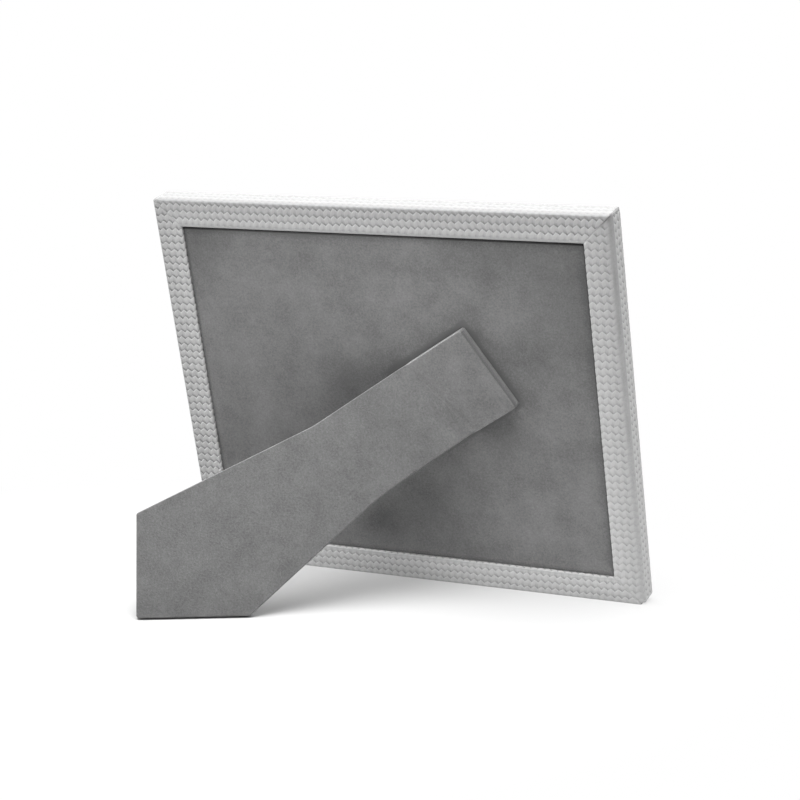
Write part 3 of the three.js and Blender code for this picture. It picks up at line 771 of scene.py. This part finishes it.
# Soft patches where the panel's suede is darker: place across and up, radius, and share of the tone lost
# Those at the top corners and down the -X side only darken it there; those round the strut's head, neck and
# leg are painted shadow of the strut
DARK_PATCHES_AND_STRUT_SHADOW = [
    (-135, 215, 45, 0.35), (-130, 160, 35, 0.2), (-60, 225, 30, 0.2), (130, 220, 30, 0.35),
    (30, 128, 17, 0.35), (5, 145, 15, 0.15), (-68, 98, 16, 0.25), (-36, 78, 19, 0.2),
    (-6, 58, 20, 0.25), (18, 38, 18, 0.45), (-30, 30, 30, 0.2), (-135, 90, 30, 0.15), (-80, 150, 20, 0.1),
]

# Spacing of the cuts across the panel, whose points carry the patches
PATCH_STEP = 7


def panel_cover():
    """The panel's suede, sunk a little at its top edge, with painted shade along the edges where the border
    overhangs it.
    """
    bm = bmesh.new()
    bm.from_mesh(nodes["panel_suede"].data)
    bmesh.ops.transform(bm, matrix=STANDING.inverted(), verts=bm.verts)
    bmesh.ops.remove_doubles(bm, verts=bm.verts, dist=0.001)
    bmesh.ops.dissolve_limit(bm, angle_limit=math.radians(1), verts=bm.verts, edges=bm.edges)
    side = max(vert.co.x for vert in bm.verts)
    top = max(vert.co.z for vert in bm.verts)
    foot = min(vert.co.z for vert in bm.verts)
    for x in (side - SHADED_BAND, SHADED_BAND - side):
        cut_across(bm, (x, 0, 0), (1, 0, 0))
    for z in (top - SHADED_BAND, foot + SHADED_BAND, top - TOP_SHADOW_LINE, top - TOP_SHADOW_LINE + TOP_SHADOW_EDGE):
        cut_across(bm, (0, 0, z), (0, 0, 1))
    for place in np.arange(PATCH_STEP - side, side, PATCH_STEP):
        cut_across(bm, (place, 0, 0), (1, 0, 0))
        cut_across(bm, (0, 0, place + HALF_HEIGHT), (0, 0, 1))
    painted_shading = bm.verts.layers.float.new("painted_shading")
    tone = bm.verts.layers.float.new("tone")
    for vert in bm.verts:
        x, _, z = vert.co
        # Darker patches, and painted shadow of the strut
        lost = sum(share * bell(math.dist((x, z), (a, b)), radius) for a, b, radius, share in DARK_PATCHES_AND_STRUT_SHADOW)
        # Painted shadow line under the top border
        vert[tone] = 1 - lost - TOP_SHADOW_DARKER * (top - z < TOP_SHADOW_LINE)
        # Painted shade in the recess along the panel's edges
        if min(side - abs(x), top - z, z - foot) < OUTERMOST:
            vert[painted_shading] = OUTERMOST_SHADE
        if top - z < TOP_EDGE:
            vert.co.z -= TOP_SUNK
    bmesh.ops.transform(bm, matrix=STANDING, verts=bm.verts)
    cover = finished("panel_cover", bm, "back_panel", "panel_suede", smooth_faces=False)
    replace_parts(cover, "panel_suede")


panel_cover()


# Strut skin

# Height of the table above the origin of the frame's own layout, straight up
TABLE = OUTER_EDGE * (math.sin(LEAN) + math.cos(LEAN) - 1)

# How far the suede is drawn in along the neck's upper edge and let out along its lower one
UPPER_DRAWN_IN = 0.7
LOWER_LET_OUT = 0.3

# The skin bends over this distance on either side of the fold, and is cut across there this many times
BEND = 5
FOLD_CUTS = 41
SKIN_BEVEL = 0.65
OUTLINE_STEP = 3.0
CORNER_STEP = 0.4

# Painted light on the strut's suede: its tone by the distance past the fold in millimetres, lighter on the
# head and round the fold, to even out the shading where the skin bends
STRUT_LIGHT_TONES = {
    -36: 1.13, -25: 1.26, -6: 1.36, -3: 1.47, -2: 1.46, -1: 1.4, 1: 1.15, 2.3: 1.05,
    7.5: 1.06, 11: 1.12, 22: 0.99, 32: 0.98, 48: 1.03, 80: 0.98,
}

# Depths below the skin's top between which its sides take over, and its painted highlight on the rim starts
# and ends
WALL_STARTS = (0.15, 0.8)
RIM_STARTS = (0, 0.15)
RIM_ENDS = (1.5, 3)

# Painted highlight on the upper side and its rim, beyond this distance from the neck's middle
UPPER_SIDE = NECK_WIDTH / 2 - 1.9
UPPER_SIDE_HIGHLIGHT = 2.2
RIM_HIGHLIGHT = 0.6

# The head's end has a painted highlight on top and painted shade down its side, beyond this distance from the
# pin
HEAD_END = HEAD_LENGTH - 1.2
END_TOP_HIGHLIGHT = 0.5
END_WALL_SHADE = -2.9
END_WALL_SHADE_TONE = 0.1


def open_leg(point):
    """A place on the folded strut, turned about the pin to where it is with the leg open."""
    relative = point - PIN
    turn = OPEN * float(smooth(relative.dot(TOWARDS_FOOT), -BEND, BEND))
    return Matrix.Rotation(turn, 3, ALONG_PIN) @ relative + PIN


def foot_line(from_side):
    """Height on the folded leg of the line that meets the table when the leg is open."""

    def open_height(z):
        place = Vector((HALF_WIDTH - from_side, LEG_FOOT_Y, z)) - PIN
        place = Matrix.Rotation(OPEN, 3, ALONG_PIN) @ place + PIN
        return place.z * math.cos(LEAN) - place.y * math.sin(LEAN) - TABLE

    return open_height(0) / (open_height(0) - open_height(1))


def strut_corners():
    """The folded strut's corners in X and Z, counter-clockwise, each with its radius."""
    inset = foot_line(0) / (1 - foot_line(1) + foot_line(0))
    start = np.array([HINGE_X, HINGE_Z])
    ahead = np.array([math.cos(NECK_ANGLE), -math.sin(NECK_ANGLE)])
    aside = np.array([math.sin(NECK_ANGLE), math.cos(NECK_ANGLE)])
    above, below = aside * (NECK_WIDTH / 2 - UPPER_DRAWN_IN), aside * (NECK_WIDTH / 2 + LOWER_LET_OUT)
    return [
        (start - HEAD_LENGTH * ahead + above, HEAD_CORNER),
        (start - HEAD_LENGTH * ahead - below, HEAD_CORNER),
        (start + LOWER_NECK * ahead - below, LOWER_KINK),
        (np.array([HALF_WIDTH - inset - FOOT_BASE, foot_line(inset + FOOT_BASE)]), FOOT_CORNER),
        (np.array([HALF_WIDTH - inset, inset]), FOOT_CORNER),
        (np.array([HALF_WIDTH - foot_line(inset + FOOT_SIDE), inset + FOOT_SIDE]), FOOT_CORNER),
        (start + UPPER_NECK * ahead + above, UPPER_KINK),
    ]


def strut_outline():
    """The folded strut's outline in X and Z, with its corners rounded."""
    corners = strut_corners()
    points = []
    for index, (corner, radius) in enumerate(corners):
        before = corner - corners[index - 1][0]
        after = corners[(index + 1) % len(corners)][0] - corner
        before /= np.linalg.norm(before)
        after /= np.linalg.norm(after)
        cross = before[0] * after[1] - before[1] * after[0]
        turn = math.atan2(cross, before @ after)
        side = np.array([-before[1], before[0]]) * math.copysign(1, turn)
        begin = corner - before * radius * math.tan(abs(turn) / 2)
        centre = begin + side * radius
        angle = math.atan2(begin[1] - centre[1], begin[0] - centre[0])
        step = CORNER_STEP if radius in (HEAD_CORNER, FOOT_CORNER) else OUTLINE_STEP
        points.append(arc(centre, radius, angle, turn, step))
    return np.concatenate(points)


def open_shell():
    """The folded skin's top face, cut across at the fold, and its sides, open below."""
    bm = bmesh.new()
    face = bm.faces.new([bm.verts.new((x, SKIN_TOP, z)) for x, z in strut_outline()])
    bmesh.ops.recalc_face_normals(bm, faces=[face])
    if face.normal.y < 0:
        face.normal_flip()
    fold_end = BEND + 1
    tone_places = [place for place in STRUT_LIGHT_TONES if abs(place) > fold_end]
    for offset in [*np.linspace(-fold_end, fold_end, FOLD_CUTS), *tone_places]:
        cut_across(bm, PIN + TOWARDS_FOOT * float(offset), TOWARDS_FOOT)
    made = bmesh.ops.extrude_face_region(bm, geom=bm.faces[:])
    top = {vert for item in made["geom"] if isinstance(item, bmesh.types.BMFace) for vert in item.verts}
    low = {vert for vert in bm.verts if vert not in top}
    for vert in low:
        past_fold = (vert.co - PIN).dot(TOWARDS_FOOT)
        vert.co.y = LEG_FOOT_Y if past_fold > -0.1 else HEAD_FOOT_Y
    bottom = [face for face in bm.faces if low.issuperset(face.verts)]
    bmesh.ops.delete(bm, geom=bottom, context="FACES_ONLY")
    bmesh.ops.recalc_face_normals(bm, faces=bm.faces)
    return bm


def is_top_edge(edge):
    """Whether an edge lies between the shell's top and one of its sides."""
    level = all(abs(vert.co.y - SKIN_TOP) < 1e-5 for vert in edge.verts)
    return level and len(edge.link_faces) == 2 and sum(abs(face.normal.y) for face in edge.link_faces) < 1.5


def paint_strut_light_and_shade(bm):
    """The painted light along the strut, with a painted highlight on the upper side and rim, and painted
    shade on the end of the head.
    """
    painted_shading = bm.verts.layers.float.new("painted_shading")
    tone = bm.verts.layers.float.new("tone")
    for vert in bm.verts:
        from_pin = vert.co - PIN
        depth = SKIN_TOP - vert.co.y
        wall = float(smooth(depth, *WALL_STARTS))
        rim = float(smooth(depth, *RIM_STARTS) * (1 - smooth(depth, *RIM_ENDS)))
        past = from_pin.dot(TOWARDS_FOOT)
        vert[tone] = float(np.interp(past, list(STRUT_LIGHT_TONES), list(STRUT_LIGHT_TONES.values())))
        if from_pin.dot(ABOVE_NECK) > UPPER_SIDE:
            vert[painted_shading] += UPPER_SIDE_HIGHLIGHT * wall
            vert[tone] *= 1 + RIM_HIGHLIGHT * rim
        if from_pin.dot(TOWARDS_HEAD) > HEAD_END:
            vert[painted_shading] += END_TOP_HIGHLIGHT + END_WALL_SHADE * wall
            vert[tone] *= 1 - END_WALL_SHADE_TONE * wall


def map_fold(bm):
    """The UV map for the wrinkles, in centimetres past and along the fold."""
    fold_map = bm.loops.layers.uv.new("fold")
    for face in bm.faces:
        for loop in face.loops:
            from_pin = loop.vert.co - PIN
            loop[fold_map].uv = (from_pin.dot(TOWARDS_FOOT) / 10, from_pin.dot(ALONG_PIN) / 10)


def strut_skin():
    """The suede over the head and the leg: one skin, pressed round the boards, that bends at the fold."""
    bm = open_shell()
    rim = [edge for edge in bm.edges if is_top_edge(edge)]
    bmesh.ops.bevel(
        bm, geom=rim, offset=SKIN_BEVEL, offset_type="OFFSET", segments=4, profile=0.5,
        affect="EDGES", material=-1,
    )
    bmesh.ops.recalc_face_normals(bm, faces=bm.faces)
    if max(bm.faces, key=lambda item: item.calc_area()).normal.y < 0:
        bmesh.ops.reverse_faces(bm, faces=bm.faces)
    bmesh.ops.solidify(bm, geom=bm.faces[:], thickness=SUEDE)
    bm.normal_update()
    paint_strut_light_and_shade(bm)
    map_fold(bm)
    for vert in bm.verts:
        vert.co = STANDING @ open_leg(vert.co)
    bmesh.ops.recalc_face_normals(bm, faces=bm.faces)
    skin = finished("strut_skin", bm, None, "suede")
    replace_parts(skin, "strut_head_suede", "strut_leg_suede")
    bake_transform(skin)


strut_skin()


# Floor, light and camera

AMBIENT = 0.12
FLOOR_TONE = 0.605

# The floor turns plain white between these distances from a place beside the strut's foot, in metres
SHADOW_CENTRE = (0.1, 0.05, 0)
WHITE_FROM = 0.14
WHITE_FULL = 0.36

# Soft square lamps that point at the frame: place, width and power
LAMPS = {
    "overhead": ((0, 0, 1.4), 1.2, 18),
    "overhead_back": ((0, 0.4, 1.35), 1.2, 13.5),
    "high_back": ((-0.2, 0.8, 1.25), 0.8, 8.5),
    "high_side": ((-0.95, 0.1, 1.1), 0.8, 4.5),
    "low_side": ((1.3, 0.3, 0.4), 0.8, 12),
    "low_back": ((-1.0, 0.9, 0.12), 0.8, 6),
}
LAMPS_AIM = (0, 0, 0.1)

# The camera, fitted to the photo's edges: place in metres, turn in degrees and lens in millimetres
CAMERA_PLACE = (-0.564411, 1.092097, 0.331285)
CAMERA_TURN = (80.25547, 0.27929, -153.65757)
CAMERA_LENS = 98.8503


def seen_ray(tree):
    """1 for the camera's rays and for those seen in metal or through glass."""
    path = tree.nodes.new("ShaderNodeLightPath")
    rays = maths(tree, "MAXIMUM", path.outputs["Is Camera Ray"], path.outputs["Is Glossy Ray"])
    return maths(tree, "MAXIMUM", rays, path.outputs["Is Transmission Ray"])


def mixed(tree, share, first, second):
    node = tree.nodes.new("ShaderNodeMixShader")
    tree.links.new(share, node.inputs["Fac"])
    tree.links.new(first, node.inputs[1])
    tree.links.new(second, node.inputs[2])
    return node.outputs["Shader"]


def floor_material():
    """Pale paper that takes the shadow near the object, and is plain white further off."""
    mat, tree, shader = new_material("floor", grey(FLOOR_TONE), 1.0)
    shader.inputs["Specular IOR Level"].default_value = 0
    coords = tree.nodes.new("ShaderNodeTexCoord")
    distance = tree.nodes.new("ShaderNodeVectorMath")
    distance.operation = "DISTANCE"
    distance.inputs[1].default_value = SHADOW_CENTRE
    tree.links.new(coords.outputs["Object"], distance.inputs[0])
    far = smooth_step(tree, distance.outputs["Value"], WHITE_FROM, WHITE_FULL)
    white = tree.nodes.new("ShaderNodeEmission")
    seen_far = maths(tree, "MULTIPLY", seen_ray(tree), far)
    surface = mixed(tree, seen_far, shader.outputs["BSDF"], white.outputs["Emission"])
    tree.links.new(surface, tree.nodes["Material Output"].inputs["Surface"])
    return mat


def add_floor():
    bm = bmesh.new()
    bmesh.ops.create_grid(bm, x_segments=1, y_segments=1, size=8)
    mesh = bpy.data.meshes.new("floor")
    bm.to_mesh(mesh)
    bm.free()
    floor = bpy.data.objects.new("floor", mesh)
    bpy.context.scene.collection.objects.link(floor)
    floor.data.materials.append(floor_material())


def add_studio():
    """A dim even light from all round, which is seen as plain white."""
    world = bpy.data.worlds.new("studio")
    bpy.context.scene.world = world
    world.use_nodes = True
    tree = world.node_tree
    around = tree.nodes["Background"]
    white = tree.nodes.new("ShaderNodeBackground")
    for background, strength in ((around, AMBIENT), (white, 1.0)):
        background.inputs["Color"].default_value = (1, 1, 1, 1)
        background.inputs["Strength"].default_value = strength
    surface = mixed(tree, seen_ray(tree), around.outputs["Background"], white.outputs["Background"])
    tree.links.new(surface, tree.nodes["World Output"].inputs["Surface"])


def add_lamp(name, place, width, power):
    data = bpy.data.lights.new(name, "AREA")
    data.shape = "SQUARE"
    data.size = width
    data.energy = power
    lamp = bpy.data.objects.new(name, data)
    bpy.context.scene.collection.objects.link(lamp)
    lamp.location = place
    direction = Vector(LAMPS_AIM) - Vector(place)
    lamp.rotation_euler = direction.to_track_quat("-Z", "Y").to_euler()


def add_camera():
    data = bpy.data.cameras.new("camera")
    data.sensor_width = 36
    data.lens = CAMERA_LENS
    data.clip_start = 0.05
    camera = bpy.data.objects.new("camera", data)
    bpy.context.scene.collection.objects.link(camera)
    camera.location = CAMERA_PLACE
    camera.rotation_euler = [math.radians(angle) for angle in CAMERA_TURN]
    bpy.context.scene.camera = camera


add_floor()
add_studio()
for lamp_name, lamp_values in LAMPS.items():
    add_lamp(lamp_name, *lamp_values)
add_camera()
bpy.context.scene.view_settings.view_transform = "Standard"
